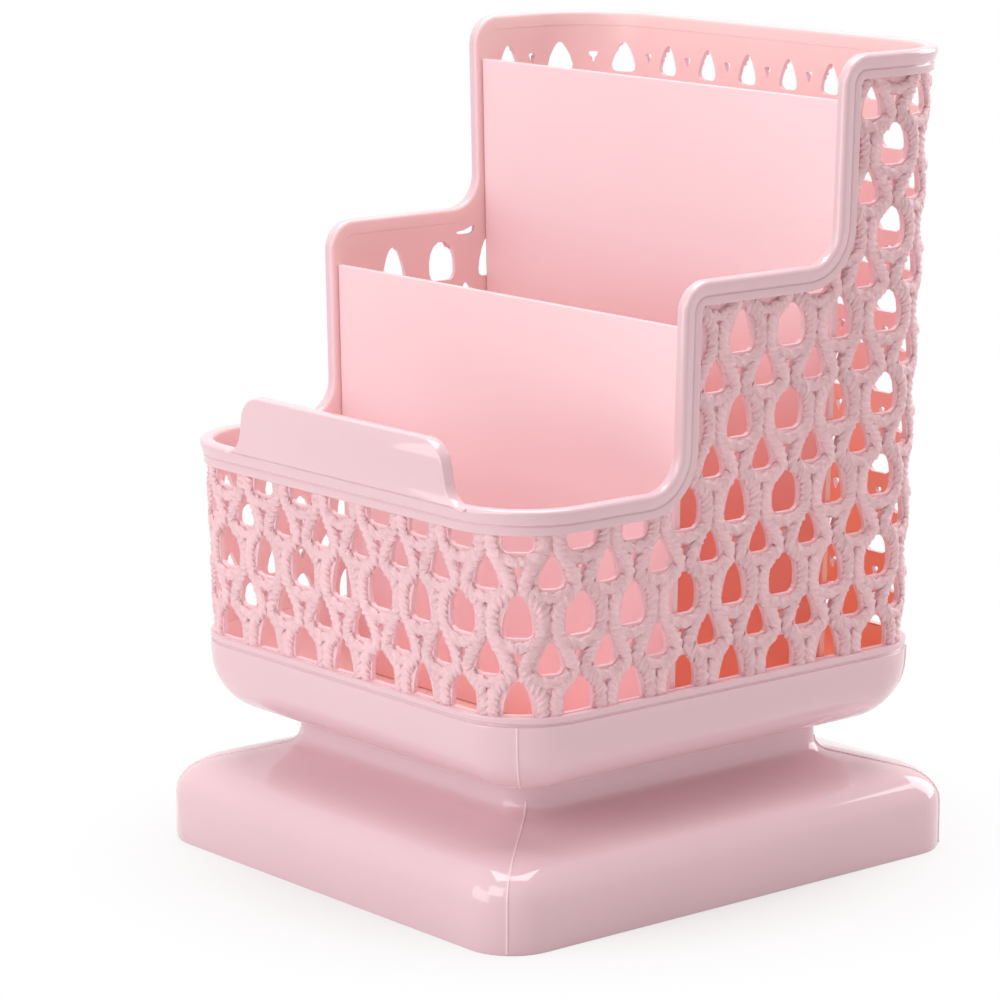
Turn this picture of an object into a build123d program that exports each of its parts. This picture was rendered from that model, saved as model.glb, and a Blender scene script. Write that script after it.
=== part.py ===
from build123d import *
import math
import os

# Three-tier desk organizer: an openwork basket with stepped side walls on a flared pedestal.
# Millimetres. The front faces -Y, +X is to the right, and the origin is under the middle of the pedestal.

# Pedestal
base_width = 120.0  # across the foot, at the table
base_depth = 129.6  # front to back, at the table
base_corner = 11.0  # radius of the foot's upright corners
base_side = 16.0  # height at which the upright side would meet the sloping deck
base_shoulder = 8.0  # rounding between side and deck
neck_width = 81.0
neck_depth = 86.5
neck_corner = 7.0
neck_start = 22.0  # height at which the deck meets the neck
neck_fillet = 3.0  # hollow rounding between deck and neck
seam_height = 29.3  # top of the neck, where the tub sits
pedestal_wall = 2.2

# Basket, measured over the openwork at the ledge on which the walls stand
basket_width = 112.4
basket_depth = 118.4
basket_corner = 16.0
ledge_height = 45.6
draft = 1.75  # degrees by which every wall leans outwards
wall = 1.8  # thickness of the basket's walls

# Tub
tub_bend = 13.5  # outer radius of the bottom edge
tub_floor = 2.2
lip_rise = 1.6  # how far the lip stands up in front of the walls
lip_thickness = 0.8
lip_groove_height = 0.7
lip_groove_depth = 0.4
spigot_depth = 5.0  # how far the tub plugs into the neck
spigot_wall = 2.0
spigot_clearance = 0.2

# Rim
front_rim_height = 90.0
middle_rim_height = 132.5
rear_rim_height = 175.5
middle_riser = -17.5  # front of the step up to the middle tier, along Y
rear_riser = 25.2  # front of the step up to the rear tier, along Y
riser_foot_radius = 7.5  # hollow rounding at the foot of a step, along the rim's top edge
step_radius = 1.0  # rounding of the openwork's own corner under the top of a step
bead_height = 3.3
bead_reach = 1.6  # how far the bead stands out from the openwork
bead_round = 0.9
band_height = 2.0  # narrow band under the bead
band_reach = 0.65
rim_groove_depth = 0.3  # groove between bead and band
rim_groove_half = 0.3
rim_clearance = 0.08  # between the rim and the walls that it caps

# Label tab on the front rim
tab_offset = 3.3  # to the right of the middle
tab_top_width = 66.0
tab_foot_width = 71.0
tab_rise = 12.4
tab_thickness = 3.0
tab_top_radius = 6.0
tab_foot_radius = 5.0

# Dividers
divider_thickness = 1.6
divider_setback = 1.5  # behind the front of the step
divider_drop = 9.6  # below the rim of its own tier
divider_clearance = 0.05

# Openwork: egg-shaped holes in staggered rows, at the same spacing from corner seam to corner seam on a wall
columns = 8
first_row = 45.7  # bottom of the lowest row of tall holes
row_pair = 17.67  # height of one tall row and one short row
short_row_offset = 10.0  # bottom of a short row above the tall row under it
wide_hole = (8.2, 9.2)  # width and height
narrow_hole = (6.6, 9.2)
short_hole = (6.2, 7.1)
hole_frame = 0.2  # solid edge kept round the openwork, inside band and lip
smallest_gap = 2.5  # area of the smallest cut hole that is still an opening

# Half outline of a hole from its bottom upwards, as shares of its width and height
WIDE_SHAPE = ((0.28, 0.0), (0.50, 0.26), (0.46, 0.62), (0.28, 0.91), (0.10, 1.0))
POINTED_SHAPE = ((0.34, 0.0), (0.50, 0.20), (0.41, 0.56), (0.22, 0.86), (0.08, 1.0))

# Worked out from the dimensions above
slope = math.tan(math.radians(draft))
flat_x = basket_width / 2 - basket_corner  # axis of the rounded corners
flat_y = basket_depth / 2 - basket_corner
seam_arc = basket_corner * math.pi / 4  # from the end of a flat wall to the seam in the middle of the corner
rim_height = bead_height + band_height
riser_top_radius = step_radius + rim_height + hole_frame
overshoot = 5.0  # how far cutting shapes reach past what they cut


def upright(width, depth, corner, bottom, top):
    """Block with rounded upright corners."""
    return extrude(Plane.XY.offset(bottom) * RectangleRounded(width, depth, corner), top - bottom)


def leaning(inset, bottom, top):
    """Block that leans outwards like the basket, inset from the face of the openwork."""
    grow = slope * (bottom - ledge_height) - inset
    section = RectangleRounded(basket_width + 2 * grow, basket_depth + 2 * grow, basket_corner + grow)
    return extrude(Plane.XY.offset(bottom) * section, top - bottom, taper=-draft)


def edges_at(part, height):
    """Edges that lie flat at one height."""
    return part.edges().filter_by_position(Axis.Z, height - 0.001, height + 0.001)


def flared_foot(inset, bottom, top):
    """Outer form of the pedestal, or its hollow when inset by the wall."""
    shoulder_at, neck_at = base_side - inset, neck_start - inset
    foot = (base_width - 2 * inset, base_depth - 2 * inset, base_corner - inset)
    neck = (neck_width - 2 * inset, neck_depth - 2 * inset, neck_corner - inset)
    lower, upper = Plane.XY.offset(shoulder_at), Plane.XY.offset(neck_at)
    deck = loft([lower * RectangleRounded(*foot), upper * RectangleRounded(*neck)], ruled=True)
    body = upright(*foot, bottom, shoulder_at) + deck + upright(*neck, neck_at, top)
    body = fillet(edges_at(body, neck_at), neck_fillet + inset)
    return fillet(edges_at(body, shoulder_at), base_shoulder - inset)


def make_pedestal():
    return flared_foot(0, 0, seam_height) - flared_foot(pedestal_wall, -overshoot, seam_height + overshoot)


def basket_hollow(clearance):
    """Space inside the basket, down to the rounded floor of the tub."""
    floor = seam_height + tub_floor + clearance
    hollow = leaning(wall + clearance, floor, rear_rim_height + overshoot)
    return fillet(edges_at(hollow, floor), tub_bend - wall)


def make_tub():
    lip_top = ledge_height + lip_rise
    bowl = leaning(-lip_thickness, seam_height, lip_top)
    bowl = fillet(edges_at(bowl, seam_height), tub_bend)
    bowl -= leaning(0, ledge_height, lip_top + overshoot)
    bowl -= basket_hollow(0)
    groove_low = ledge_height - lip_groove_height / 2
    groove = leaning(-lip_thickness - overshoot, groove_low, groove_low + lip_groove_height)
    groove -= leaning(lip_groove_depth - lip_thickness, groove_low, groove_low + lip_groove_height)
    fit = pedestal_wall + spigot_clearance
    bottom, top = seam_height - spigot_depth, seam_height + tub_floor / 2
    spigot = upright(neck_width - 2 * fit, neck_depth - 2 * fit, neck_corner - fit, bottom, top)
    fit += spigot_wall
    core = upright(neck_width - 2 * fit, neck_depth - 2 * fit, neck_corner - fit, bottom, seam_height)
    return bowl - groove + (spigot - core)


def step_corners(drop):
    """Corners and radii of a side wall's stepped edge in Y and Z, set back from the rim's own edge."""
    low, middle, high = (height - drop for height in (front_rim_height, middle_rim_height, rear_rim_height))
    first, second = middle_riser + drop, rear_riser + drop
    foot, top = riser_foot_radius + drop, riser_top_radius - drop
    return [(first, low), (first, middle), (second, middle), (second, high)], [foot, top, foot, top]


def stepped_outline(drop, bottom):
    """Side view of the basket between a height and its stepped edge, as a face in Y and Z."""
    corners, radii = step_corners(drop)
    front, rear = (-basket_depth, corners[0][1]), (basket_depth, corners[-1][1])
    edge = FilletPolyline(front, *corners, rear, radius=radii)
    rest = Polyline(rear, (basket_depth, bottom), (-basket_depth, bottom), front)
    return make_face([*edge.edges(), *rest.edges()])


def level_outline(top, bottom):
    """Straight counterpart of the stepped outline, for the front and rear walls."""
    return make_face(Polyline((-basket_depth, bottom), (basket_depth, bottom), (basket_depth, top),
                              (-basket_depth, top), close=True).edges())


def hole_outline(size, shape, centre, bottom):
    """One hole as a face, on the middle of its column and standing on its bottom edge."""
    width, height = size
    right_half = [(centre + x * width, bottom + y * height) for x, y in shape]
    left_half = [(centre - x * width, bottom + y * height) for x, y in reversed(shape)]
    return make_face(Polyline(*right_half, *left_half, close=True).edges())


def hole_rows():
    """Bottom and kind of every row up to the highest rim."""
    pairs = math.ceil((rear_rim_height - first_row) / row_pair)
    for pair in range(pairs):
        bottom = first_row + pair * row_pair
        yield bottom, True
        yield bottom + short_row_offset, False


def wall_holes(seam, region):
    """Column and outline of each hole of a wall that is laid out flat from seam to seam, cut to the region."""
    pitch = 2 * seam / columns
    for bottom, tall in hole_rows():
        for column in range(columns + 1 if tall else columns):
            centre = -seam + pitch * (column if tall else column + 0.5)
            size, shape = short_hole, POINTED_SHAPE
            if tall:
                size = wide_hole if column % 2 else narrow_hole
            if size == wide_hole:
                shape = WIDE_SHAPE
            for piece in (hole_outline(size, shape, centre, bottom) & region).faces():
                if piece.area > smallest_gap:
                    yield centre, piece


def column_plane(centre, flat, axis):
    """Plane that faces out of a -Y wall at one column, through the axis on which its corners turn."""
    bend = max(0.0, abs(centre) - flat) / basket_corner
    turn = math.copysign(bend, centre)
    outward = Vector(math.sin(turn), -math.cos(turn), 0)
    along = Vector(math.cos(turn), math.sin(turn), 0)
    foot = Vector(max(-flat, min(flat, centre)), -axis, 0)
    return Plane(origin=foot - along * centre, x_dir=along, z_dir=outward)


def openwork_wall(turn, flat, axis, side_view, region):
    """One wall from seam to seam: cut from the basket's shell, then pierced. Turn 0 is the front wall."""
    reach = basket_corner + slope * (rear_rim_height - ledge_height) + overshoot
    outer_y, outer_x = -axis - reach, flat + reach
    sector = Polyline((-flat, -axis), (flat, -axis), (outer_x, outer_y), (-outer_x, outer_y), close=True)
    sector = extrude(Plane.XY.offset(ledge_height) * make_face(sector.edges()), rear_rim_height)
    shell = leaning(0, ledge_height, rear_rim_height) - leaning(wall, ledge_height, rear_rim_height)
    view = Plane.YZ if turn % 180 else Plane.XZ
    panel = (shell & (Rot(0, 0, turn) * sector)) & extrude(view * side_view, basket_depth, both=True)
    holes = wall_holes(flat + seam_arc, region)
    cutters = [extrude(column_plane(centre, flat, axis) * hole, reach) for centre, hole in holes]
    return panel - [Rot(0, 0, turn) * cutter for cutter in cutters]


def make_walls():
    """The four openwork walls by name."""
    cap, frame = bead_height + rim_clearance, rim_height + hole_frame
    sill = ledge_height + lip_rise + hole_frame
    front = openwork_wall(0, flat_x, flat_y, level_outline(front_rim_height - cap, 0),
                          level_outline(front_rim_height - frame, sill))
    rear = openwork_wall(180, flat_x, flat_y, level_outline(rear_rim_height - cap, 0),
                         level_outline(rear_rim_height - frame, sill))
    right = openwork_wall(90, flat_y, flat_x, stepped_outline(cap, 0), stepped_outline(frame, sill))
    return {"front_wall": front, "rear_wall": rear, "right_wall": right, "left_wall": mirror(right, Plane.YZ)}


def rim_section():
    """Cross-section of the rim: flared bead, groove and band. Zero is on the openwork's face, at the rim's top."""
    inside, under = -wall, -bead_height
    groove_top, groove_bottom = under + rim_groove_half, under - rim_groove_half
    groove_floor = band_reach - rim_groove_depth
    top = [
        Line((inside, under), (inside, -bead_round)),
        RadiusArc((inside, -bead_round), (inside + bead_round, 0), bead_round),
        Line((inside + bead_round, 0), (bead_reach - bead_round, 0)),
        RadiusArc((bead_reach - bead_round, 0), (bead_reach, -bead_round), bead_round),
    ]
    rest = Polyline((bead_reach, -bead_round), (band_reach, groove_top), (groove_floor, under),
                    (band_reach, groove_bottom), (band_reach, -rim_height), (rim_clearance, -rim_height),
                    (rim_clearance, under), (inside, under))
    return make_face([*(edge for line in top for edge in line.edges()), *rest.edges()])


def rim_path():
    """Right-hand half of the rim's top edge, from the middle of the front to the middle of the rear."""
    lean = math.radians(draft)
    low = basket_corner + slope * (front_rim_height - ledge_height)
    high = basket_corner + slope * (rear_rim_height - ledge_height)
    side = Plane(origin=(flat_x + low, 0, front_rim_height), x_dir=(0, 1, 0),
                 z_dir=(math.cos(lean), 0, -math.sin(lean)))
    corners, radii = step_corners(0)
    climb = [(y, (z - front_rim_height) / math.cos(lean)) for y, z in corners]
    runs = [
        Line((0, -flat_y - low, front_rim_height), (flat_x, -flat_y - low, front_rim_height)),
        Plane.XY.offset(front_rim_height) * CenterArc((flat_x, -flat_y), low, -90, 90),
        side * FilletPolyline((-flat_y, climb[0][1]), *climb, (flat_y, climb[-1][1]), radius=radii),
        Plane.XY.offset(rear_rim_height) * CenterArc((flat_x, flat_y), high, 0, 90),
        Line((flat_x, flat_y + high, rear_rim_height), (0, flat_y + high, rear_rim_height)),
    ]
    return Wire([edge for run in runs for edge in run.edges()])


def make_tab(plane):
    """Label tab that rises out of the bead, flush with the bead's widest line."""
    foot, top = tab_foot_width / 2, tab_top_width / 2
    base, sunk = foot + tab_foot_radius, bead_round
    outline = Polyline((-base, -sunk), (base, -sunk), (base, -sunk / 2), (foot, -sunk / 2), (top, tab_rise),
                       (-top, tab_rise), (-foot, -sunk / 2), (-base, -sunk / 2), close=True)
    face = make_face(outline.edges())
    face = fillet(face.vertices().filter_by_position(Axis.Y, tab_rise - 1, tab_rise + 1), tab_top_radius)
    feet = face.vertices().filter_by_position(Axis.Y, -sunk * 0.6, -sunk * 0.4)
    face = fillet(feet.filter_by_position(Axis.X, -foot - 1, foot + 1), tab_foot_radius)
    return extrude(plane.offset(bead_reach) * Pos(X=tab_offset) * face, -tab_thickness)


def make_rim():
    lean = math.radians(draft)
    path = rim_path()
    start = path.position_at(0)
    section_plane = Plane(origin=start, x_dir=(0, -math.cos(lean), -math.sin(lean)), z_dir=(-1, 0, 0))
    half = sweep(section_plane * rim_section(), path)
    front = Plane(origin=start, x_dir=(1, 0, 0), z_dir=(0, -math.cos(lean), -math.sin(lean)))
    return half + mirror(half, Plane.YZ) + make_tab(front)


def make_divider(riser, height):
    """Plain board across the basket, behind a step, down to the floor of the tub."""
    middle = riser + divider_setback + divider_thickness / 2
    board = Box(2 * basket_width, divider_thickness, 2 * (height - divider_drop))
    return basket_hollow(divider_clearance) & (Pos(0, middle, 0) * board)


parts = {
    "pedestal": make_pedestal(),
    "tub": make_tub(),
    "rim": make_rim(),
    "middle_divider": make_divider(middle_riser, middle_rim_height),
    "rear_divider": make_divider(rear_riser, rear_rim_height),
    **make_walls(),
}
os.makedirs("parts", exist_ok=True)
for name, part in parts.items():
    export_step(part, f"parts/{name}.step")
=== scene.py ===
import math
from typing import NamedTuple

import bpy
import numpy as np
from mathutils import Matrix, Vector
from mathutils.geometry import delaunay_2d_cdt


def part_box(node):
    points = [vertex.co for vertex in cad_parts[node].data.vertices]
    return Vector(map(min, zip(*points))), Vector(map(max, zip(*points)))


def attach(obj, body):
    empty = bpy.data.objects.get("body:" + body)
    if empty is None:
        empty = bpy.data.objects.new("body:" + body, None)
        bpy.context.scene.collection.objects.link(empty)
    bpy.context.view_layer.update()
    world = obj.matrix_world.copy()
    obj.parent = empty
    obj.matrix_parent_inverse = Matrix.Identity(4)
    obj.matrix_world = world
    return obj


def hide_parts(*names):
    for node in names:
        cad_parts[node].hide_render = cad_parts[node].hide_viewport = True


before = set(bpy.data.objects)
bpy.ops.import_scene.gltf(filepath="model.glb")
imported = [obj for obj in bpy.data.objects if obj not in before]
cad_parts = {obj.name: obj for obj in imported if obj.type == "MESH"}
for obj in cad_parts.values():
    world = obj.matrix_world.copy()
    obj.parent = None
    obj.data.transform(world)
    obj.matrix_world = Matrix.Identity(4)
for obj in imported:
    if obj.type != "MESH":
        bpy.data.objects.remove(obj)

# Three-tier desk organizer of pale pink moulded plastic: smooth pedestal, tub, rim and dividers, and
# four walls of moulded rope net. Metres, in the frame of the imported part: the low front tier faces -Y
# and Z is up.


class HoleKind(NamedTuple):
    """Kind of hole in the net."""
    width: float
    height: float
    outline: tuple  # half outline from the bottom upwards, as shares of width and height


class Hole(NamedTuple):
    """One hole of a wall that is laid out flat."""
    middle: float  # place along the wall
    bottom: float
    kind: HoleKind


class Rope(NamedTuple):
    """Moulded rope of twisted plies."""
    radius: float
    depth: float  # of its middle, measured from the nominal face
    plies: int
    ply_share: float  # how far the plies stand out
    turn: float  # length of one full twist
    uneven: float  # share by which its thickness changes
    points: int  # round its section


class Finish(NamedTuple):
    """Surface that the mould gives the plastic."""
    gloss: tuple  # lowest and highest roughness
    grain_scale: float  # noise scale of the fine grain
    drift: float  # how far the colour's brightness wanders
    wave_share: float  # share of slow waves in the relief, the rest is fine grain
    relief: float  # height of that relief


class Lamp(NamedTuple):
    """Square soft lamp."""
    name: str
    spot: tuple
    aim: float  # height above the middle of the table at which it points
    size: float
    power: float


mm = 0.001
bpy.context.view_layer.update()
_, pedestal_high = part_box("pedestal")
_, tub_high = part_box("tub")
front_low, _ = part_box("front_wall")

# Pedestal
base_corner = 11 * mm
base_side = 16 * mm  # height at which the upright side would meet the sloping deck
base_shoulder = 8 * mm
neck_start = 22 * mm
neck_fillet = 3.5 * mm
neck_width = 81 * mm
neck_depth = 86.5 * mm
pedestal_wall = 2.2 * mm
foot_edge = 0.5 * mm  # rounding along the table

# Basket, measured over its nominal face at the ledge
ledge_height = front_low.z
basket_corner = 16 * mm
flat_x = 40.2 * mm  # axes on which the rounded corners turn
flat_y = 43.2 * mm
draft = math.radians(1.75)
slope = math.tan(draft)
wall = 1.8 * mm

# Directions, also those of the leaning front and right walls
rightwards = Vector((1, 0, 0))
rearwards = Vector((0, 1, 0))
upwards = Vector((0, 0, 1))
front_out = Vector((0, -math.cos(draft), -math.sin(draft)))
front_up = Vector((0, -math.sin(draft), math.cos(draft)))
right_up = Vector((math.sin(draft), 0, math.cos(draft)))

# Tub
seam_height = pedestal_high.z
lip_top = tub_high.z
lip_thickness = 0.8 * mm
lip_edge = 0.25 * mm  # rounding of the tub's sharp edges
lip_edge_angle = 50  # degrees, an edge that turns less is left as it is
lip_groove_height = 0.7 * mm
lip_groove_slant = 0.14 * mm  # height of each of the groove's two slopes
lip_groove_depth = 0.4 * mm
tub_bend = 13.5 * mm
tub_floor = seam_height + 2.2 * mm

# Rim
front_rim = 90 * mm
middle_rim = 132.5 * mm
rear_rim = 175.5 * mm
middle_riser = -17.5 * mm
rear_riser = 25.2 * mm
riser_foot_radius = 7.5 * mm
riser_top_radius = 6.5 * mm
bead_height = 3.3 * mm
bead_reach = 1.55 * mm
bead_round = 0.95 * mm
band_height = 2 * mm
band_reach = 0.6 * mm
rim_height = bead_height + band_height
rim_groove = 0.3 * mm  # between bead and band
rim_inner_corner = 0.05 * mm

# Label tab
tab_offset = 3.3 * mm  # to the right of the middle
tab_top_half = 33 * mm
tab_foot_half = 35.5 * mm
tab_rise = 12.4 * mm
tab_thickness = 3 * mm
tab_top_radius = 6 * mm
tab_foot_radius = 5 * mm
tab_foot_level = -bead_round / 3  # its spreading feet end in the bead's rounded top
tab_edge = 0.6 * mm

# Dividers
divider_edge = 0.4 * mm
divider_top_radius = 0.3 * mm

# Mould seam
ridge_radius = 0.25 * mm
ridge_start = 1 * mm  # lower end of the tub's ridges above its seam with the neck
ring_height = 0.05 * mm  # points that lie closer in height than this belong to one ring

# Holes of the net
columns = 8
first_row = 45.7 * mm
row_pair = 17.67 * mm
short_row = 10 * mm  # bottom of a short row above the tall row under it
slit_row = 12.1 * mm  # the same for a slit
wide_hole = HoleKind(7.6 * mm, 8.9 * mm, (
    (0.30, 0.0), (0.44, 0.07), (0.50, 0.22), (0.50, 0.48), (0.45, 0.70), (0.33, 0.88), (0.14, 0.99)))
narrow_hole = HoleKind(6.6 * mm, 8.9 * mm, (
    (0.34, 0.0), (0.47, 0.06), (0.50, 0.20), (0.44, 0.46), (0.33, 0.72), (0.22, 0.90), (0.09, 0.99)))
short_hole = HoleKind(5.7 * mm, 6.8 * mm, (
    (0.33, 0.0), (0.46, 0.07), (0.50, 0.22), (0.41, 0.50), (0.27, 0.76), (0.14, 0.93), (0.05, 0.99)))
slit = HoleKind(2.0 * mm, 2.4 * mm, ((0.06, 0.0), (0.24, 0.30), (0.50, 0.85), (0.36, 0.99)))
smallest_hole = 1 * mm  # a hole with less than this under the rim is left out
hole_frame = 0.2 * mm  # left whole along the tub's lip and under the rim
sheet_outside = -0.8 * mm  # smooth inner layer of a wall, measured from the nominal face
part_reach = 200 * mm  # further along a wall than any seam
sharpest_riser = 0.2 * mm  # least radius of a set-back edge's corners
step_gap = 1e-9  # parts the two ends of an upright line, so that places along a wall only climb

# Ropes of the net
strand_rope = Rope(radius=1.7 * mm, depth=-0.7 * mm, plies=3, ply_share=0.12, turn=4.4 * mm,
                   uneven=0.06, points=14)
bar_rope = Rope(radius=1.4 * mm, depth=-0.5 * mm, plies=2, ply_share=0.15, turn=6.5 * mm,
                uneven=0.05, points=8)
# A strand's way round a hole and on to the next: share of a row pair from the hole's bottom, and
# share of its swing
strand_wave = ((0.0, 0.86), (0.14, 1.0), (0.36, 0.93), (0.47, 0.50), (0.56, 0.0), (0.63, 0.0),
               (0.72, 0.15), (0.84, 0.40), (1.0, 0.86))
wave_softening = 1.2 * mm  # the wave's corners are averaged this far up and down
wave_samples = 7
strand_closeness = 0.8  # where two strands meet, each lies this many radii beside its column's middle
strand_foot = 0.3 * mm  # below the tub's lip
rope_flatness = 0.55
rope_step = 0.45 * mm
rope_back = -1.6 * mm  # ropes are flat behind, inside the smooth layer
rope_edge = 0.5 * mm  # smooth edge left between a hole and its strand
knot_length = 3.1 * mm  # thick and thin places along a rope
bar_rise = 2 * mm  # ends of a bar above its middle
bar_steps = 14
tall_bar_share = 0.36  # half length of a bar under a tall hole, as a share of the columns' distance
short_bar_share = 0.30
bar_overlap = 1 * mm  # bars reach this far behind the rim
fluff_height = 0.65 * mm  # uneven surface of the moulded rope
fluff_size = 0.9 * mm
fluff_octaves = 2
shortest_run = 3  # least number of points in a rope

# Fineness of the meshes
arc_steps = 7
plate_corner_steps = 10
bowl_steps = 12
hollow_steps = 8
rim_section_steps = 4
rim_turn_steps = 9
wall_corner_slices = 8
edge_rounds = 1  # extra steps in the round of a drawn edge
smooth_angle = 35  # degrees, a sharper edge stays an edge
rope_smooth_angle = 60
ridge_smooth_angle = 80
same_point = 0.001 * mm  # points that lie closer than this become one
same_sheet_point = 0.002 * mm  # the same while a sheet's holes are cut
mirror_gap = 0.01 * mm  # and where the rim's two halves meet

# Colours and finish
white = (1, 1, 1, 1)
pink = (0.84, 0.6, 0.655)
highlit_seam_pink = (0.95, 0.76, 0.79)  # the mould seam's ridge is painted paler, a painted highlight where light catches it
divider_pink = (0.93, 0.645, 0.685)  # warmer, from light that stays in the box
inside_pink = (0.98, 0.695, 0.7)  # the same on the walls' smooth inner side
frosted_pink = (0.99, 0.68, 0.725)  # the net scatters more light and looks paler
depth_shade_pink = (0.99, 0.40, 0.32)  # painted shade and red glow at the bottom of the box, for light that arrives through the walls
depth_shade_orange = (1.0, 0.52, 0.38)  # the same painted shade and glow on the thin walls
depth_start = 83 * mm  # height at which the painted shade begins, at the middle of the box
depth_slope = 1.55  # the tiers climb to the rear, and the painted shade with them
depth_range = 58 * mm
depth_peak = 27 * mm  # the painted shade climbs as far as the rear divider
facing_share = 0.5  # a face looks into the box when its normal leans inwards by more than this
smooth_finish = Finish(gloss=(0.05, 0.09), grain_scale=1400, drift=0.05, wave_share=0.35, relief=0.004 * mm)
inside_finish = Finish(gloss=(0.29, 0.38), grain_scale=1400, drift=0.05, wave_share=0.4, relief=0.004 * mm)
rope_finish = Finish(gloss=(0.45, 0.62), grain_scale=1500, drift=0.2, wave_share=0.1, relief=0.45 * mm)
slow_noise = {"Scale": 28.0, "Detail": 3.0}
fine_noise = {"Detail": 4.0, "Roughness": 0.6}
smear_noise = {"Scale": 160.0, "Detail": 2.0}
noise_middle = 0.5
plastic_ior = 1.49
shine = 0.8  # the mould is polished

# Studio
floor_radius = 4
floor_points = 96
floor_grey = (0.75, 0.75, 0.75, 1)
floor_roughness = 0.9
floor_shine = 0.1
floor_fade = 120 * mm  # from the middle, the floor turns into plain white over this distance
world_strength = 0.375
world_tint = (1.0, 0.80, 0.77)
lamps = (
    Lamp("key_softbox", spot=(0.18, -0.84, 0.68), aim=0.08, size=0.55, power=2.4),
    Lamp("left_fill", spot=(-0.3, -0.95, 0.2), aim=0.06, size=0.7, power=2.7),
    Lamp("top_softbox", spot=(-0.1, 0.1, 1.1), aim=0.1, size=0.9, power=10.5),
    Lamp("rear_softbox", spot=(0.15, 1.1, 0.45), aim=0.1, size=0.8, power=6),
)
camera_spot = (0.65843, -0.56426, 0.25610)
camera_aim = (-0.00585, -0.01127, 0.07690)
camera_sensor = 36  # millimetres, as the lens
camera_lens = 147.05
camera_nearest = 0.01


def round_corners(points, radii, steps=arc_steps):
    """Open chain of points with an arc in place of each inner corner."""
    chain = [Vector(points[0])]
    for before, corner, after, radius in zip(points, points[1:], points[2:], radii):
        corner = Vector(corner)
        back = (Vector(before) - corner).normalized()
        on = (Vector(after) - corner).normalized()
        half = back.angle(on) / 2
        centre = corner + (back + on).normalized() * (radius / math.sin(half))
        start, end = ((corner + way * (radius / math.tan(half)) - centre).normalized() for way in (back, on))
        chain += [centre + start.slerp(end, step / steps) * radius for step in range(steps + 1)]
    chain.append(Vector(points[-1]))
    return chain


def corner_radius(height):
    return basket_corner + slope * (height - ledge_height)


def add_object(name, data):
    made = bpy.data.objects.new(name, data)
    bpy.context.collection.objects.link(made)
    return made


def deselect():
    if bpy.context.object and bpy.context.object.mode != "OBJECT":
        bpy.ops.object.mode_set(mode="OBJECT")
    bpy.ops.object.select_all(action="DESELECT")


def make_active(piece):
    deselect()
    piece.select_set(True)
    bpy.context.view_layer.objects.active = piece


def apply_modifier(piece, kind, **settings):
    make_active(piece)
    modifier = piece.modifiers.new(kind.title(), kind)
    for name, value in settings.items():
        setattr(modifier, name, value)
    bpy.ops.object.modifier_apply(modifier=modifier.name)


def outward_normals(piece):
    make_active(piece)
    bpy.ops.object.mode_set(mode="EDIT")
    bpy.ops.mesh.select_all(action="SELECT")
    bpy.ops.mesh.remove_doubles(threshold=same_point)
    bpy.ops.mesh.normals_make_consistent(inside=False)
    bpy.ops.object.mode_set(mode="OBJECT")


def smooth(piece, degrees=smooth_angle):
    make_active(piece)
    bpy.ops.object.shade_smooth_by_angle(angle=math.radians(degrees))


def join(name, pieces):
    make_active(pieces[0])
    for piece in pieces[1:]:
        piece.select_set(True)
    bpy.ops.object.join()
    joined = bpy.context.object
    joined.name = name
    return joined


def new_drawing(name, dimensions="3D"):
    drawing = bpy.data.curves.new(name, "CURVE")
    drawing.dimensions = dimensions
    return drawing


def draw_line(drawing, places, closed=False):
    """Adds a chain of straight lines to a drawing."""
    spline = drawing.splines.new("POLY")
    spline.points.add(len(places) - 1)
    for point, place in zip(spline.points, places):
        point.co = (*place, 1)
    spline.use_cyclic_u = closed
    return spline


def as_mesh(name, drawing):
    make_active(add_object(name, drawing))
    bpy.ops.object.convert(target="MESH")
    return bpy.context.object


def drawn_plate(name, outline, thickness, edge):
    """Flat plate in X and Y with rounded edges, from an outline that runs anticlockwise."""
    drawing = new_drawing(name, "2D")
    drawing.fill_mode = "BOTH"
    drawing.extrude = thickness / 2 - edge
    drawing.bevel_depth = edge
    drawing.bevel_resolution = edge_rounds
    drawing.offset = -edge
    draw_line(drawing, [(x, y, 0) for x, y in outline], closed=True)
    return as_mesh(name, drawing)


def place(piece, origin, x_way, y_way):
    """Puts a plate that was drawn in X and Y on to a plane of the object."""
    z_way = x_way.cross(y_way)
    turn = Matrix((x_way, y_way, z_way)).transposed().to_4x4()
    piece.data.transform(Matrix.Translation(origin) @ turn)


def rounded_plate(name, half, corner, height):
    """Flat plate with rounded corners, left in edit mode with its face selected."""
    deselect()
    bpy.ops.mesh.primitive_plane_add(size=2, location=(0, 0, height))
    piece = bpy.context.object
    piece.name = name
    piece.scale = (half.x, half.y, 1)
    bpy.ops.object.transform_apply(location=True, rotation=True, scale=True)
    bpy.ops.object.mode_set(mode="EDIT")
    bpy.ops.mesh.select_all(action="SELECT")
    bpy.ops.mesh.bevel(offset=corner, segments=plate_corner_steps, affect="VERTICES")
    bpy.ops.mesh.select_mode(type="FACE")
    bpy.ops.mesh.select_all(action="SELECT")
    return piece


def scaled_section(half, inset, climb, stretch=1.0):
    """Extrudes the selected face to a section that is scaled to its new size, and returns its half size."""
    after = Vector((half.x - inset, half.y - inset * stretch))
    bpy.ops.mesh.extrude_region_move(TRANSFORM_OT_translate={"value": (0, 0, climb)})
    bpy.ops.transform.resize(value=(after.x / half.x, after.y / half.y, 1), center_override=(0, 0, 0))
    return after


def select_caps(piece, lowest=0.0):
    """Selects the many-sided faces that close a skin, from a height upwards, and goes to edit mode."""
    bpy.ops.object.mode_set(mode="OBJECT")
    for polygon in piece.data.polygons:
        polygon.select = len(polygon.vertices) > 4 and polygon.center.z >= lowest
    make_active(piece)
    bpy.ops.object.mode_set(mode="EDIT")


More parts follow.
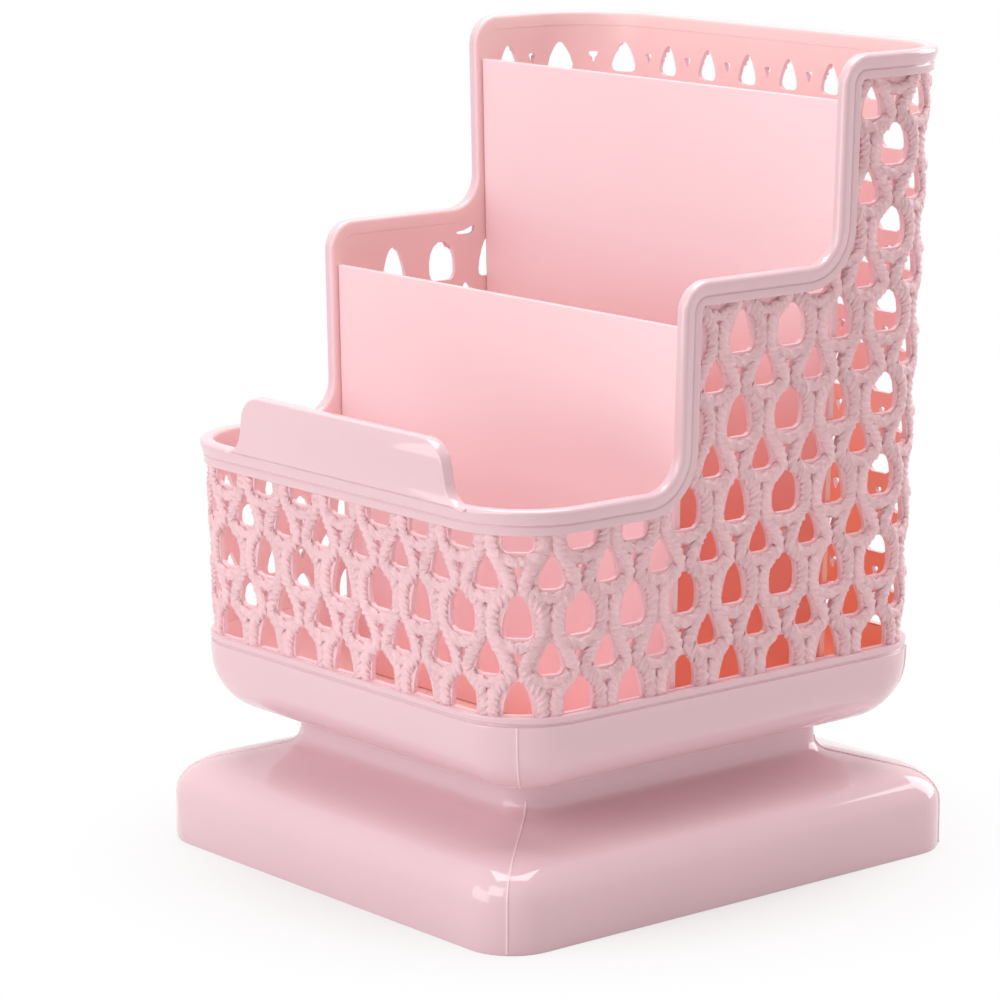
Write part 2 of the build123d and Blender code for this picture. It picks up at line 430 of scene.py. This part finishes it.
def make_pedestal():
    """Hollow skin, open below and above, that climbs from the foot over shoulder and deck to the neck."""
    half = Vector((pedestal_high.x, pedestal_high.y))
    reach = half.x - neck_width / 2
    stretch = (half.y - neck_depth / 2) / reach
    corners = [(0, foot_edge), (0, base_side), (reach, neck_start), (reach, seam_height)]
    profile = round_corners(corners, (base_shoulder, neck_fillet))
    half -= Vector((foot_edge, foot_edge)) / 2
    piece = rounded_plate("pedestal_body", half, base_corner - foot_edge / 2, 0)
    half = scaled_section(half, -foot_edge / 2, foot_edge)
    for below, above in zip(profile, profile[1:]):
        half = scaled_section(half, above.x - below.x, above.y - below.y, stretch)
    select_caps(piece)
    bpy.ops.mesh.delete(type="FACE")
    outward_normals(piece)
    seams = list(corner_lines(piece, foot_edge / 2, seam_height))
    apply_modifier(piece, "SOLIDIFY", thickness=pedestal_wall, offset=-1)
    smooth(piece)
    return add_ridges(piece, seams)


def bowl_profile(depth, reach, bend, steps):
    """Leaning side and flat bottom of a bowl, inwards and upwards from its top edge."""
    return round_corners([(0, 0), (depth * slope, -depth), (reach, -depth)], (bend,), steps)


def make_tub():
    """Bowl with a grooved lip, built from the lip down to the neck, then hollowed from above."""
    outer = lip_thickness + slope * (lip_top - ledge_height)
    half = Vector((flat_x + basket_corner + outer, flat_y + basket_corner + outer))
    groove_top = ledge_height + lip_groove_height / 2
    groove_bottom = ledge_height - lip_groove_height / 2
    piece = rounded_plate("tub_bowl", half, basket_corner + outer, lip_top)
    half = scaled_section(half, slope * (lip_top - groove_top), groove_top - lip_top)
    half = scaled_section(half, lip_groove_depth, -lip_groove_slant)
    half = scaled_section(half, 0, 2 * lip_groove_slant - lip_groove_height)
    half = scaled_section(half, -lip_groove_depth, -lip_groove_slant)
    depth = groove_bottom - seam_height
    reach = depth * slope + half.x - neck_width / 2
    bowl = bowl_profile(depth, reach, tub_bend, bowl_steps)
    for above, below in zip(bowl, bowl[1:]):
        bpy.ops.mesh.inset(thickness=below.x - above.x, depth=below.y - above.y, use_boundary=True)
    outward_normals(piece)
    seams = list(corner_lines(piece, seam_height + ridge_start, groove_bottom))
    select_caps(piece, groove_top)
    bpy.ops.mesh.inset(thickness=wall + lip_thickness)
    hollow = bowl_profile(lip_top - tub_floor, reach, tub_bend - wall, hollow_steps)
    for above, below in zip(hollow, hollow[1:-1]):
        bpy.ops.mesh.inset(thickness=below.x - above.x, depth=below.y - above.y)
    bpy.ops.object.mode_set(mode="OBJECT")
    apply_modifier(piece, "BEVEL", width=lip_edge, segments=2, limit_method="ANGLE",
                   angle_limit=math.radians(lip_edge_angle))
    smooth(piece)
    return add_ridges(piece, seams)


def corner_lines(piece, lowest, highest):
    """Lines down the four rounded corners of a skin, each from its lowest ring of points to its highest."""
    rings = {}
    for corner in (point.co.copy() for point in piece.data.vertices):
        if lowest < corner.z < highest:
            rings.setdefault(round(corner.z / ring_height), []).append(corner)
    for x_way, y_way in ((1, -1), (1, 1), (-1, 1), (-1, -1)):
        line = [max(ring, key=lambda corner: corner.x * x_way + corner.y * y_way) for ring in rings.values()]
        yield sorted(line, key=lambda corner: corner.z)


def add_ridges(piece, lines):
    """Joins to a piece the fine ridges that the mould's seam leaves down its corners."""
    drawing = new_drawing("parting_ridge")
    drawing.bevel_depth = ridge_radius
    drawing.bevel_resolution = edge_rounds
    drawing.use_fill_caps = True
    for line in lines:
        draw_line(drawing, line)
    ridges = as_mesh("parting_ridges", drawing)
    outward_normals(ridges)
    smooth(ridges, ridge_smooth_angle)
    piece.data.materials.append(smooth_plastic)
    # the ridges get a paler colour, a painted highlight
    ridges.data.materials.append(highlit_seam_plastic)
    return join(piece.name, [piece, ridges])


def rim_section():
    """Outline of bead, groove and band: outwards from the nominal face, and upwards from the rim's top."""
    inside = -wall
    under = -bead_height
    groove = rim_groove
    points = [(inside, under), (inside, 0), (bead_reach, 0), (band_reach + groove / 3, under + groove),
              (band_reach - groove, under), (band_reach, under - groove), (band_reach, -rim_height),
              (sheet_outside, -rim_height), (sheet_outside, under)]
    radii = (bead_round, bead_round, groove, groove / 4, groove / 2, groove, rim_inner_corner)
    return round_corners(points, radii, rim_section_steps)


def rim_front():
    """The rim's top at the middle of the front, on the nominal face."""
    return Vector((0, -flat_y - corner_radius(front_rim), front_rim))


def run_along(way, length):
    bpy.ops.mesh.extrude_region_move(TRANSFORM_OT_translate={"value": way * length})


def turn_about(centre, axis, degrees):
    bpy.ops.mesh.spin(steps=rim_turn_steps, angle=math.radians(-degrees), center=centre, axis=axis)


def sweep_bead():
    """Bead and band, swept from the front over the right side's steps to the rear, then mirrored."""
    drawing = new_drawing("rim_section")
    start = rim_front()
    draw_line(drawing, [start + front_out * out + front_up * up for out, up in rim_section()], closed=True)
    bead = as_mesh("rim_bead", drawing)
    bpy.ops.object.mode_set(mode="EDIT")
    bpy.ops.mesh.select_mode(type="EDGE")
    bpy.ops.mesh.select_all(action="SELECT")
    run_along(rightwards, flat_x)
    turn_about((flat_x, -flat_y, 0), upwards, 90)
    corner = Vector((flat_x + corner_radius(front_rim), 0, front_rim))
    face = rearwards.cross(right_up)
    foot, top = riser_foot_radius, riser_top_radius
    reached, level = -flat_y, 0
    for riser, rise in ((middle_riser, middle_rim - front_rim), (rear_riser, rear_rim - middle_rim)):
        rise /= math.cos(draft)
        run_along(rearwards, riser - foot - reached)
        turn_about(corner + rearwards * (riser - foot) + right_up * (level + foot), face, 90)
        run_along(right_up, rise - foot - top)
        turn_about(corner + rearwards * (riser + top) + right_up * (level + rise - top), face, -90)
        reached, level = riser + top, level + rise
    run_along(rearwards, flat_y - reached)
    turn_about((flat_x, flat_y, 0), upwards, 90)
    run_along(-rightwards, flat_x)
    bpy.ops.object.mode_set(mode="OBJECT")
    apply_modifier(bead, "MIRROR", use_clip=True, merge_threshold=mirror_gap)
    outward_normals(bead)
    smooth(bead)
    return bead


def make_tab():
    """Label tab: a plate that stands on the front of the bead, with feet that spread along it."""
    base = tab_foot_half + tab_foot_radius
    corners = [(-base, tab_foot_level), (-tab_foot_half, tab_foot_level), (-tab_top_half, tab_rise),
               (tab_top_half, tab_rise), (tab_foot_half, tab_foot_level), (base, tab_foot_level)]
    outline = round_corners(corners, (tab_foot_radius, tab_top_radius, tab_top_radius, tab_foot_radius))
    outline += [Vector((base, -bead_round)), Vector((-base, -bead_round))]
    tab = drawn_plate("label_tab", outline[::-1], tab_thickness, tab_edge)
    origin = rim_front() + rightwards * tab_offset + front_out * (bead_reach - tab_thickness / 2)
    place(tab, origin, rightwards, front_up)
    outward_normals(tab)
    return tab


def make_rim():
    """Bead and label tab, merged into one closed skin."""
    piece = sweep_bead()
    tab = make_tab()
    apply_modifier(piece, "BOOLEAN", operation="UNION", object=tab, solver="EXACT")
    bpy.data.objects.remove(tab)
    piece.name = "rim_with_tab"
    smooth(piece)
    return piece


def make_divider(name):
    """Plain board with softened edges, following the leaning walls and the rounded floor of the tub."""
    low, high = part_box(name)
    foot = flat_x + corner_radius(low.z) - wall
    foot_radius = tub_bend - wall
    corners = [(high.x, high.z), (-high.x, high.z), (-foot, low.z), (foot, low.z), (high.x, high.z)]
    outline = round_corners(corners, (divider_top_radius, foot_radius, foot_radius))
    board = drawn_plate(name + "_board", outline[:-1], high.y - low.y, divider_edge)
    place(board, rearwards * ((low.y + high.y) / 2), rightwards, upwards)
    outward_normals(board)
    smooth(board)
    return board


def level_edge(height):
    """Top edge of a level wall, set back from the rim's own edge by a drop."""
    return lambda drop: [(-part_reach, height - drop), (part_reach, height - drop)]


def stepped_edge(drop):
    """Stepped top edge of a side wall, from front to rear, set back from the rim's own edge by a drop."""
    first = middle_riser + drop
    second = rear_riser + drop
    corners = [(-part_reach, front_rim - drop), (first, front_rim - drop), (first, middle_rim - drop),
               (second, middle_rim - drop), (second, rear_rim - drop), (part_reach, rear_rim - drop)]
    foot = riser_foot_radius + drop
    top = max(riser_top_radius - drop, sharpest_riser)
    return round_corners(corners, (foot, top, foot, top))


class Wall:
    """One wall laid out flat: along it from the middle, upwards, and outwards from the nominal face."""

    def __init__(self, name, turn, flat, axis, edge):
        self.name = name
        self.turn = turn  # about Z, from the front
        self.flat = flat  # half length of its straight part
        self.axis = axis  # of its corners, from the middle of the box
        self.edge = edge
        self.seam = flat + basket_corner * math.pi / 4
        self.pitch = 2 * self.seam / columns

    def top(self, along, drop):
        """Height of the wall's top edge, which steps up in very steep lines."""
        places, heights = np.array(self.edge(drop)).T
        return np.interp(along, places + np.arange(len(places)) * step_gap, heights)

    def inner_edge(self, drop):
        """The wall's top edge between its two seams."""
        edge = self.edge(drop)
        inside = [tuple(point) for point in edge if abs(point[0]) < self.seam]
        return [(-self.seam, edge[0][1]), *inside, (self.seam, edge[-1][1])]

    def wrap(self, piece):
        """Bends a flat mesh round the basket's corners, leans it outwards and turns it to its side."""
        places = np.empty(len(piece.data.vertices) * 3)
        piece.data.vertices.foreach_get("co", places)
        along, height, out = places.reshape(-1, 3).T
        kept = np.clip(along, -self.flat, self.flat)
        bend = (along - kept) / basket_corner
        reach = corner_radius(height) + np.maximum(out, rope_back)
        x = kept + np.sin(bend) * reach
        y = -self.axis - np.cos(bend) * reach
        cosine = math.cos(self.turn)
        sine = math.sin(self.turn)
        wrapped = np.stack((cosine * x - sine * y, sine * x + cosine * y, height), axis=1)
        piece.data.vertices.foreach_set("co", wrapped.ravel())
        piece.data.update()

    def holes(self):
        """All holes of the layout, row by row, also those that the wall's edge will cut away."""
        row = 0
        while first_row + row * row_pair < rear_rim:
            bottom = first_row + row * row_pair
            for column in range(columns + 1):
                middle = column * self.pitch - self.seam
                yield Hole(middle, bottom, wide_hole if column % 2 else narrow_hole)
                yield Hole(middle, bottom + slit_row, slit)
            for column in range(columns):
                yield Hole((column + 0.5) * self.pitch - self.seam, bottom + short_row, short_hole)
            row += 1

    def cut_sheet(self):
        """Flat sheet with the holes cut out. A hole stops at the tub's lip, the rim and the wall's seams."""
        holes = [hole for hole in self.holes()
                 if hole.bottom + smallest_hole < self.top(hole.middle, rim_height)]
        sill = lip_top + hole_frame
        ceiling = rim_height + hole_frame
        ends = ((-self.seam, lip_top), (self.seam, lip_top))
        chains = [[*ends, *reversed(self.inner_edge(bead_height)), ends[0]], self.inner_edge(ceiling),
                  [(-self.seam, sill), (self.seam, sill)]]
        chains += [closed_outline(hole) for hole in holes]
        places, edges = [], []
        for chain in chains:
            first = len(places)
            places += [Vector(point) for point in chain]
            edges += [(first + step, first + step + 1) for step in range(len(chain) - 1)]
        places, _, faces, *_ = delaunay_2d_cdt(places, edges, [], 0, same_sheet_point, False)
        middles = [sum((places[index] for index in face), Vector((0, 0))) / 3 for face in faces]
        along, height = np.array(middles).T
        kept = (abs(along) < self.seam) & (height > lip_top) & (height < self.top(along, bead_height))
        cuttable = (height > sill) & (height < self.top(along, ceiling))
        for middle, bottom, kind in holes:
            half, share = np.array(kind.outline).T
            reach = np.interp((height - bottom) / kind.height, share, half * kind.width, left=-1, right=-1)
            kept &= ~(cuttable & (abs(along - middle) < reach))
        mesh = bpy.data.meshes.new(self.name)
        mesh.from_pydata([(x, z, sheet_outside) for x, z in places], [],
                         [face for face, keep in zip(faces, kept) if keep])
        return add_object(self.name + "_sheet", mesh)

    def strand_runs(self):
        """Chains of points for the wavy upright strands, each kept inside the wall's edge."""
        shares, swings = zip(*strand_wave)
        heights = np.arange(lip_top - strand_foot, rear_rim, rope_step)
        shifts = np.linspace(-wave_softening, wave_softening, wave_samples)
        waves = np.mean([np.interp((heights + shift - first_row) / row_pair % 1.0, shares, swings)
                         for shift in shifts], axis=0)
        closest = strand_rope.radius * strand_closeness
        for column in range(columns + 1):
            hole = wide_hole if column % 2 else narrow_hole
            widest = hole.width / 2 + rope_edge + strand_rope.radius
            middle = column * self.pitch - self.seam
            for side in (-1, 1):
                if not 0 <= column + side * 0.5 <= columns:
                    continue
                along = middle + side * (closest + (widest - closest) * waves)
                run = []
                for x, z in zip(along, heights):
                    if z < self.top(x, bead_height + band_height / 3):
                        run.append((x, z))
                    elif run:
                        break
                if len(run) >= shortest_run:
                    yield side, run

    def bar_runs(self):
        """Short bars that join the strands under each hole."""
        under_rim = rim_height - bar_overlap
        for middle, bottom, kind in self.holes():
            level = bottom - rope_edge - bar_rope.radius
            if kind is slit or not lip_top <= level <= self.top(middle, under_rim):
                continue
            half = self.pitch * (short_bar_share if kind is short_hole else tall_bar_share)
            places = np.linspace(max(-self.seam, middle - half), min(self.seam, middle + half), bar_steps)
            run = [(x, level + bar_rise * ((x - middle) / half) ** 2) for x in places]
            run = [(x, z) for x, z in run if z < self.top(x, under_rim)]
            if len(run) >= shortest_run:
                yield 1, run


def closed_outline(hole):
    """Chain of points round a hole, back to its first."""
    width, height, outline = hole.kind
    right = [(hole.middle + x * width, hole.bottom + z * height) for x, z in outline]
    left = [(hole.middle - x * width, hole.bottom + z * height) for x, z in reversed(outline)]
    return right + left + right[:1]


def make_fluff():
    """Cloudy pattern that lifts and sinks the surface of the moulded rope."""
    clouds = bpy.data.textures.new("rope_fluff", "CLOUDS")
    clouds.noise_scale = fluff_size
    clouds.noise_depth = fluff_octaves
    return clouds


def rope_profile(rope):
    """Section of a rope, with a bulge for each ply."""
    places = []
    for step in range(rope.points):
        angle = 2 * math.pi * step / rope.points
        radius = rope.radius * (1 - rope.ply_share + rope.ply_share * math.cos(rope.plies * angle))
        places.append((radius * math.cos(angle), radius * math.sin(angle), 0))
    drawing = new_drawing("rope_profile", "2D")
    draw_line(drawing, places, closed=True)
    return add_object("rope_profile", drawing)


def make_ropes(name, runs, rope):
    """Twisted ropes along flat chains of points, as one mesh."""
    profile = rope_profile(rope)
    drawing = new_drawing(name)
    drawing.twist_mode = "Z_UP"
    drawing.bevel_mode = "OBJECT"
    drawing.bevel_object = profile
    drawing.use_fill_caps = True
    full_turn = 2 * math.pi
    for side, run in runs:
        spline = draw_line(drawing, [(x, z, 0) for x, z in run])
        first_knot = run[0][0] / row_pair
        length = 0
        for index, point in enumerate(spline.points):
            length += math.dist(run[index - 1], run[index]) if index else 0
            point.tilt = side * full_turn * length / rope.turn
            point.radius = 1 + rope.uneven * math.sin(full_turn * (length / knot_length + first_knot))
    ropes = as_mesh(name, drawing)
    bpy.data.objects.remove(profile)
    outward_normals(ropes)
    apply_modifier(ropes, "DISPLACE", texture=fluff, texture_coords="LOCAL", strength=fluff_height,
                   mid_level=noise_middle)
    flatten = Matrix.Diagonal((1, 1, rope_flatness, 1))
    ropes.data.transform(Matrix.Translation((0, 0, rope.depth)) @ flatten)
    smooth(ropes, rope_smooth_angle)
    return ropes


def slice_corners(side):
    """Cuts the sheet of a wall, which is in edit mode, into strips that can follow the rounded corners."""
    for way in (-1, 1):
        for step in range(wall_corner_slices):
            cut = way * (side.flat + (side.seam - side.flat) * step / wall_corner_slices)
            bpy.ops.mesh.select_all(action="SELECT")
            bpy.ops.mesh.bisect(plane_co=(cut, 0, 0), plane_no=(1, 0, 0))


def make_wall(side):
    """Smooth inner sheet, upright strands and bars of one wall, as one piece."""
    sheet = side.cut_sheet()
    make_active(sheet)
    bpy.ops.object.mode_set(mode="EDIT")
    bpy.ops.mesh.select_all(action="SELECT")
    bpy.ops.mesh.delete_loose()
    slice_corners(side)
    bpy.ops.object.mode_set(mode="OBJECT")
    strands = make_ropes(side.name + "_strands", side.strand_runs(), strand_rope)
    bars = make_ropes(side.name + "_bars", side.bar_runs(), bar_rope)
    for piece in (sheet, strands, bars):
        side.wrap(piece)
    apply_modifier(sheet, "SOLIDIFY", thickness=sheet_outside + wall, offset=-1)
    smooth(sheet)
    return join(side.name + "_net", [sheet, strands, bars])


def make_walls():
    """The four walls by name. The left one is the right one's mirror image."""
    quarter = math.pi / 2
    front = Wall("front_wall", turn=0, flat=flat_x, axis=flat_y, edge=level_edge(front_rim))
    rear = Wall("rear_wall", turn=2 * quarter, flat=flat_x, axis=flat_y, edge=level_edge(rear_rim))
    right = Wall("right_wall", turn=quarter, flat=flat_y, axis=flat_x, edge=stepped_edge)
    nets = {side.name: make_wall(side) for side in (front, rear, right)}
    make_active(nets["right_wall"])
    bpy.ops.object.duplicate()
    left = bpy.context.object
    left.name = "left_wall_net"
    left.data.transform(Matrix.Diagonal((-1, 1, 1, 1)))
    left.data.flip_normals()
    nets["left_wall"] = left
    return nets


def feed(tree, entry, value):
    """Gives an input a value, or a link from another node's output."""
    if isinstance(value, bpy.types.NodeSocket):
        tree.links.new(value, entry)
    else:
        entry.default_value = value


def add_node(tree, kind, *values, setup=None, **inputs):
    """Adds a shader node: its settings first, then its inputs in order or by name."""
    made = tree.nodes.new(kind)
    for name, value in (setup or {}).items():
        setattr(made, name, value)
    for entry, value in zip(made.inputs, values):
        feed(tree, entry, value)
    for name, value in inputs.items():
        feed(tree, made.inputs[name.replace("_", " ")], value)
    return made


def reckon(tree, operation, *values):
    """Adds a node that reckons with numbers and other nodes' outputs."""
    return add_node(tree, "ShaderNodeMath", *values, setup={"operation": operation}).outputs[0]


def position(tree):
    return add_node(tree, "ShaderNodeTexCoord").outputs["Object"]


def soft_step(tree, value, end):
    """Climbs smoothly from 0 to 1 while a value climbs from 0 to an end."""
    return add_node(tree, "ShaderNodeMapRange", setup={"interpolation_type": "SMOOTHSTEP"},
                    Value=value, From_Max=end).outputs[0]


def new_group(name, takes, gives):
    """Node group with its inputs and outputs. One called Color is a colour, and the others are numbers."""
    tree = bpy.data.node_groups.new(name, "ShaderNodeTree")
    for way, sockets in (("INPUT", takes), ("OUTPUT", gives)):
        for entry in sockets:
            kind = "NodeSocketColor" if entry == "Color" else "NodeSocketFloat"
            tree.interface.new_socket(name=entry, in_out=way, socket_type=kind)
    return tree


def make_moulded_surface():
    """Group for moulded plastic: slow colour drift, uneven gloss, and relief of fine grain and slow waves."""
    tree = new_group("moulded_surface",
                     takes=("Color", "Drift", "Gloss Low", "Gloss High", "Grain Scale", "Wave Share"),
                     gives=("Color", "Roughness", "Height"))
    given = add_node(tree, "NodeGroupInput").outputs
    spot = position(tree)
    slow = add_node(tree, "ShaderNodeTexNoise", Vector=spot, **slow_noise).outputs["Fac"]
    fine = add_node(tree, "ShaderNodeTexNoise", Vector=spot, Scale=given["Grain Scale"],
                    **fine_noise).outputs["Fac"]
    smear = add_node(tree, "ShaderNodeTexNoise", Vector=spot, **smear_noise).outputs["Fac"]
    shift = reckon(tree, "SUBTRACT", slow, noise_middle)
    brightness = reckon(tree, "MULTIPLY_ADD", shift, given["Drift"], 1.0)
    tone = add_node(tree, "ShaderNodeHueSaturation", Value=brightness, Color=given["Color"])
    gloss = add_node(tree, "ShaderNodeMapRange", Value=smear, To_Min=given["Gloss Low"],
                     To_Max=given["Gloss High"])
    relief = add_node(tree, "ShaderNodeMix", Factor=given["Wave Share"], A=fine, B=slow)
    add_node(tree, "NodeGroupOutput", tone.outputs["Color"], gloss.outputs[0], relief.outputs["Result"])
    return tree


def make_depth_shade_mask():
    """Group for the painted shade: how far a place lies below the tiers' climbing line."""
    tree = new_group("depth_shade_mask", takes=(), gives=("Depth",))
    place_in_box = add_node(tree, "ShaderNodeSeparateXYZ", position(tree)).outputs
    rear = reckon(tree, "MINIMUM", place_in_box["Y"], depth_peak)
    line = reckon(tree, "MULTIPLY_ADD", rear, depth_slope, depth_start)
    below = reckon(tree, "SUBTRACT", line, place_in_box["Z"])
    add_node(tree, "NodeGroupOutput", soft_step(tree, below, depth_range))
    return tree


def with_depth_shade(tree, color, depth_shade_tone):
    """A colour that goes over into a painted shade, darker and redder towards the bottom of the box."""
    depth = add_node(tree, "ShaderNodeGroup", setup={"node_tree": depth_shade_mask}).outputs["Depth"]
    return add_node(tree, "ShaderNodeMix", setup={"data_type": "RGBA"},
                    Factor=depth, A=(*color, 1), B=(*depth_shade_tone, 1)).outputs["Result"]


def moulded_plastic(name, color, finish, depth_shade_tone=None):
    """Pale moulded plastic with its own grain, gloss and drift of colour."""
    material = bpy.data.materials.new(name)
    material.use_nodes = True
    tree = material.node_tree
    surface = add_node(
        tree, "ShaderNodeGroup", setup={"node_tree": moulded_surface},
        # where a shade tone is given, the colour darkens and reddens towards the bottom of the box: painted
        # shade
        Color=with_depth_shade(tree, color, depth_shade_tone) if depth_shade_tone else (*color, 1),
        Drift=finish.drift, Gloss_Low=finish.gloss[0], Gloss_High=finish.gloss[1],
        Grain_Scale=finish.grain_scale, Wave_Share=finish.wave_share).outputs
    bump = add_node(tree, "ShaderNodeBump", Strength=1.0, Distance=finish.relief, Height=surface["Height"])
    shader = tree.nodes["Principled BSDF"].inputs
    feed(tree, shader["Base Color"], surface["Color"])
    feed(tree, shader["Roughness"], surface["Roughness"])
    feed(tree, shader["Normal"], bump.outputs["Normal"])
    feed(tree, shader["IOR"], plastic_ior)
    feed(tree, shader["Specular IOR Level"], shine)
    return material


def finish_piece(piece, material, slot, *nodes):
    if material.name not in piece.data.materials:
        piece.data.materials.append(material)
    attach(piece, "root")
    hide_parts(*nodes)


def beyond(place, flat):
    """How far a place lies beyond the straight part of a wall."""
    return place - max(-flat, min(flat, place))


def finish_inside(piece):
    """Gives the faces that look into the box the smooth inside finish, whose colour carries painted shade
    towards the bottom of the box.
    """
    piece.data.materials.append(inside_plastic)
    inside = len(piece.data.materials) - 1
    for polygon in piece.data.polygons:
        x, y, z = polygon.center
        outward = Vector((beyond(x, flat_x), beyond(y, flat_y), 0))
        on_floor = z < (seam_height + ledge_height) / 2 and polygon.normal.z > 0
        faces_in = polygon.normal.dot(outward) < -facing_share * outward.length
        if (on_floor or faces_in) and z > seam_height:
            polygon.material_index = inside


def add_aimed(name, data, spot, aim):
    """Puts a lamp or a camera at a spot, looking at another."""
    holder = add_object(name, data)
    holder.location = spot
    holder.rotation_euler = (Vector(aim) - Vector(spot)).to_track_quat("-Z", "Y").to_euler()
    return holder


def seen_directly(tree):
    """Tells rays from the camera and from reflections apart from those that light the object."""
    path = add_node(tree, "ShaderNodeLightPath").outputs
    return reckon(tree, "MAXIMUM", path["Is Camera Ray"], path["Is Glossy Ray"])


def make_floor():
    """Pale floor that takes the object's shadow and turns into plain white further out."""
    deselect()
    bpy.ops.mesh.primitive_circle_add(vertices=floor_points, radius=floor_radius, fill_type="NGON",
                                      location=(0, 0, 0))
    floor = bpy.context.object
    floor.name = "studio_floor"
    material = bpy.data.materials.new("studio_floor")
    material.use_nodes = True
    tree = material.node_tree
    shader = tree.nodes["Principled BSDF"]
    feed(tree, shader.inputs["Base Color"], floor_grey)
    feed(tree, shader.inputs["Roughness"], floor_roughness)
    feed(tree, shader.inputs["Specular IOR Level"], floor_shine)
    plain = add_node(tree, "ShaderNodeEmission", Color=white, Strength=1.0)
    distance = add_node(tree, "ShaderNodeVectorMath", position(tree), setup={"operation": "LENGTH"})
    far = soft_step(tree, distance.outputs["Value"], floor_fade)
    seen = reckon(tree, "MULTIPLY", seen_directly(tree), far)
    fade = add_node(tree, "ShaderNodeMixShader", seen, shader.outputs[0], plain.outputs[0])
    feed(tree, tree.nodes["Material Output"].inputs["Surface"], fade.outputs[0])
    floor.data.materials.append(material)


def light_studio():
    """White surroundings that light the object with a softer, warmer tint, and four soft lamps."""
    world = bpy.data.worlds.new("studio")
    bpy.context.scene.world = world
    world.use_nodes = True
    tree = world.node_tree
    backdrop = tree.nodes["Background"].inputs
    direct = seen_directly(tree)
    tint = add_node(tree, "ShaderNodeMix", setup={"data_type": "RGBA"}, Factor=direct,
                    A=(*world_tint, 1), B=white)
    strength = add_node(tree, "ShaderNodeMapRange", Value=direct, To_Min=world_strength, To_Max=1.0)
    feed(tree, backdrop["Color"], tint.outputs["Result"])
    feed(tree, backdrop["Strength"], strength.outputs[0])
    for lamp in lamps:
        light = bpy.data.lights.new(lamp.name, "AREA")
        light.shape = "SQUARE"
        light.size = lamp.size
        light.energy = lamp.power
        add_aimed(lamp.name, light, lamp.spot, (0, 0, lamp.aim))


def place_camera():
    camera = bpy.data.cameras.new("photo_camera")
    camera.sensor_width = camera_sensor
    camera.lens = camera_lens
    camera.clip_start = camera_nearest
    bpy.context.scene.camera = add_aimed("photo_camera", camera, camera_spot, camera_aim)


fluff = make_fluff()
moulded_surface = make_moulded_surface()
depth_shade_mask = make_depth_shade_mask()
smooth_plastic = moulded_plastic("smooth_plastic", pink, smooth_finish)
# paler colour of the seam ridges: a painted highlight
highlit_seam_plastic = moulded_plastic("highlit_seam_plastic", highlit_seam_pink, smooth_finish)
openwork_plastic = moulded_plastic("openwork_plastic", frosted_pink, rope_finish)
# inside and divider plastic darken and redden towards the bottom of the box: painted shade and glow
inside_plastic = moulded_plastic("inside_plastic", inside_pink, inside_finish, depth_shade_orange)
divider_plastic = moulded_plastic("divider_plastic", divider_pink, inside_finish, depth_shade_pink)

pedestal = make_pedestal()
tub = make_tub()
rim = make_rim()
finish_piece(pedestal, smooth_plastic, "smooth_plastic", "pedestal")
finish_piece(tub, smooth_plastic, "smooth_plastic", "tub")
finish_inside(tub)
finish_piece(rim, smooth_plastic, "smooth_plastic", "rim")
finish_inside(rim)
for divider in ("middle_divider", "rear_divider"):
    finish_piece(make_divider(divider), divider_plastic, "divider_plastic", divider)
for wall_name, net in make_walls().items():
    finish_piece(net, openwork_plastic, "openwork_plastic", wall_name)
    finish_inside(net)

make_floor()
light_studio()
place_camera()
bpy.context.scene.view_settings.view_transform = "Standard"
